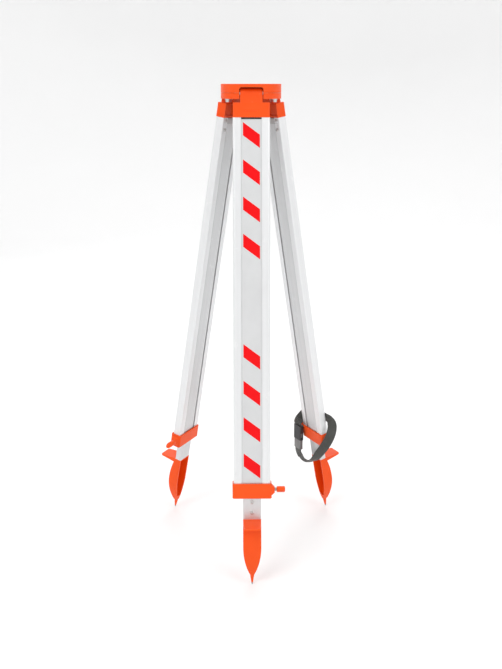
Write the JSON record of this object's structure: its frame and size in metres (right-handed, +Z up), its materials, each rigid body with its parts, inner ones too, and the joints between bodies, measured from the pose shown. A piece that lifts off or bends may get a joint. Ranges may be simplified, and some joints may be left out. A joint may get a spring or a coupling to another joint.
{
  "type": "surveying tripod",
  "caption": "Light aluminium surveying tripod: round flat head with a centre screw on a swinging arm, telescopic legs with clamp screws, cast spiked feet and a closing strap.",
  "frame": {"origin": "centre of the head's flat top face", "axes": "+Z up along the head's own axis; the front leg stands towards -Y, the other two towards azimuths 30 and 150 degrees from +X"},
  "size_m": [0.438, 0.399, 1.0357],
  "materials": {
    "orange_paint": "bright orange powder coat on castings",
    "extruded_aluminium": "natural anodised, fine lengthwise grain",
    "steel": "zinc plated",
    "hardened_steel": "ground point",
    "brass": "turned",
    "orange_plastic": "moulded grips",
    "black_plastic": "fine spark texture",
    "grey_plastic": "moulded",
    "label_film": "silver grey film printed with slanted red stripes",
    "webbing": "woven polyester"
  },
  "bodies": {
    "head": {"head_plate": "orange_paint", "front_hinge_cap": "orange_paint", "right_hinge_cap": "orange_paint", "left_hinge_cap": "orange_paint", "hinge_bolts": "steel", "arm_pivot": "steel"},
    "swing_arm": {"swing_arm": "extruded_aluminium"},
    "screw_carriage": {"screw_carriage": "brass"},
    "screw_spring": {"thrust_washer": "steel", "screw_spring": "steel"},
    "centre_screw": {"centre_screw": "brass", "screw_knob": "black_plastic", "plumb_hook": "steel"},
    "front_upper": {"front_hinge_axle": "steel", "front_leg_bracket": "orange_paint", "front_bracket_screws": "steel", "front_upper_profile": "extruded_aluminium", "front_stripe_label": "label_film", "front_collar": "orange_paint"},
    "front_lower": {"front_lower_tube": "extruded_aluminium", "front_guide_block": "grey_plastic", "front_foot": "orange_paint", "front_foot_screws": "steel", "front_spike_tip": "hardened_steel"},
    "front_pad": {"front_clamp_pad": "grey_plastic"},
    "front_clamp": {"front_clamp_screw": "steel", "front_clamp_wing": "orange_plastic"},
    "right_upper": {"right_hinge_axle": "steel", "right_leg_bracket": "orange_paint", "right_bracket_screws": "steel", "right_upper_profile": "extruded_aluminium", "right_stripe_label": "label_film", "right_collar": "orange_paint", "right_strap_band": "webbing", "right_strap_rivet": "steel", "right_buckle_socket": "black_plastic"},
    "right_lower": {"right_lower_tube": "extruded_aluminium", "right_guide_block": "grey_plastic", "right_foot": "orange_paint", "right_foot_screws": "steel", "right_spike_tip": "hardened_steel"},
    "right_pad": {"right_clamp_pad": "grey_plastic"},
    "right_clamp": {"right_clamp_screw": "steel", "right_clamp_wing": "orange_plastic"},
    "left_upper": {"left_hinge_axle": "steel", "left_leg_bracket": "orange_paint", "left_bracket_screws": "steel", "left_upper_profile": "extruded_aluminium", "left_stripe_label": "label_film", "left_collar": "orange_paint"},
    "left_lower": {"left_lower_tube": "extruded_aluminium", "left_guide_block": "grey_plastic", "left_foot": "orange_paint", "left_foot_screws": "steel", "left_spike_tip": "hardened_steel"},
    "left_pad": {"left_clamp_pad": "grey_plastic"},
    "left_clamp": {"left_clamp_screw": "steel", "left_clamp_wing": "orange_plastic"},
    "buckle_plug": {"right_buckle_plug": "black_plastic"}
  },
  "joints": [
    {"name": "arm_swing", "type": "hinge", "parent": "head", "child": "swing_arm", "pos_m": [0, 0.033, -0.0205], "axis": [0, 0, 1], "range_deg": [-20, 20]},
    {"name": "screw_shift", "type": "slide", "parent": "swing_arm", "child": "screw_carriage", "axis": [0, 1, 0], "range_m": [-0.011, 0.011]},
    {"name": "screw_lift", "type": "slide", "parent": "screw_carriage", "child": "screw_spring", "axis": [0, 0, 1], "range_m": [0, 0.015], "stiffness_N_per_m": 400, "springref_m": -0.005, "deforming": ["screw_spring"]},
    {"name": "screw_turn", "type": "hinge", "parent": "screw_spring", "child": "centre_screw", "pos_m": [0, 0, -0.03], "axis": [0, 0, 1], "continuous": true},
    {"name": "front_hinge", "type": "hinge", "parent": "head", "child": "front_upper", "pos_m": [0, -0.046, -0.0185], "axis": [-1, 0, 0], "range_deg": [-8.8, 20]},
    {"name": "front_extend", "type": "slide", "parent": "front_upper", "child": "front_lower", "axis": [0, -0.1685, -0.9857], "range_m": [0, 0.6]},
    {"name": "front_pad_press", "type": "slide", "parent": "front_upper", "child": "front_pad", "axis": [1, 0, 0], "range_m": [0, 0.0019]},
    {"name": "front_clamp_turn", "type": "hinge", "parent": "front_pad", "child": "front_clamp", "pos_m": [0.04, -0.18339, -0.83533], "axis": [1, 0, 0], "range_deg": [0, 540]},
    {"name": "right_hinge", "type": "hinge", "parent": "head", "child": "right_upper", "pos_m": [0.03984, 0.023, -0.0185], "axis": [0.5, -0.866, 0], "range_deg": [-8.8, 20]},
    {"name": "right_extend", "type": "slide", "parent": "right_upper", "child": "right_lower", "axis": [0.1459, 0.0842, -0.9857], "range_m": [0, 0.6]},
    {"name": "right_pad_press", "type": "slide", "parent": "right_upper", "child": "right_pad", "axis": [-0.5, 0.866, 0], "range_m": [0, 0.0019]},
    {"name": "right_clamp_turn", "type": "hinge", "parent": "right_pad", "child": "right_clamp", "pos_m": [0.13882, 0.12634, -0.83533], "axis": [-0.5, 0.866, 0], "range_deg": [0, 540]},
    {"name": "left_hinge", "type": "hinge", "parent": "head", "child": "left_upper", "pos_m": [-0.03984, 0.023, -0.0185], "axis": [0.5, 0.866, 0], "range_deg": [-8.8, 20]},
    {"name": "left_extend", "type": "slide", "parent": "left_upper", "child": "left_lower", "axis": [-0.1459, 0.0842, -0.9857], "range_m": [0, 0.6]},
    {"name": "left_pad_press", "type": "slide", "parent": "left_upper", "child": "left_pad", "axis": [-0.5, -0.866, 0], "range_m": [0, 0.0019]},
    {"name": "left_clamp_turn", "type": "hinge", "parent": "left_pad", "child": "left_clamp", "pos_m": [-0.17882, 0.05706, -0.83533], "axis": [-0.5, -0.866, 0], "range_deg": [0, 540]},
    {"name": "buckle_release", "type": "slide", "parent": "right_upper", "child": "buckle_plug", "axis": [0, 0, -1], "range_m": [0, 0.022], "deforming": ["right_strap_band"]}
  ],
  "couplings": [
    {"joint": "front_pad_press", "follows": "front_clamp_turn", "m_per_rad": 0.00019894},
    {"joint": "right_pad_press", "follows": "right_clamp_turn", "m_per_rad": 0.00019894},
    {"joint": "left_pad_press", "follows": "left_clamp_turn", "m_per_rad": 0.00019894}
  ]
}
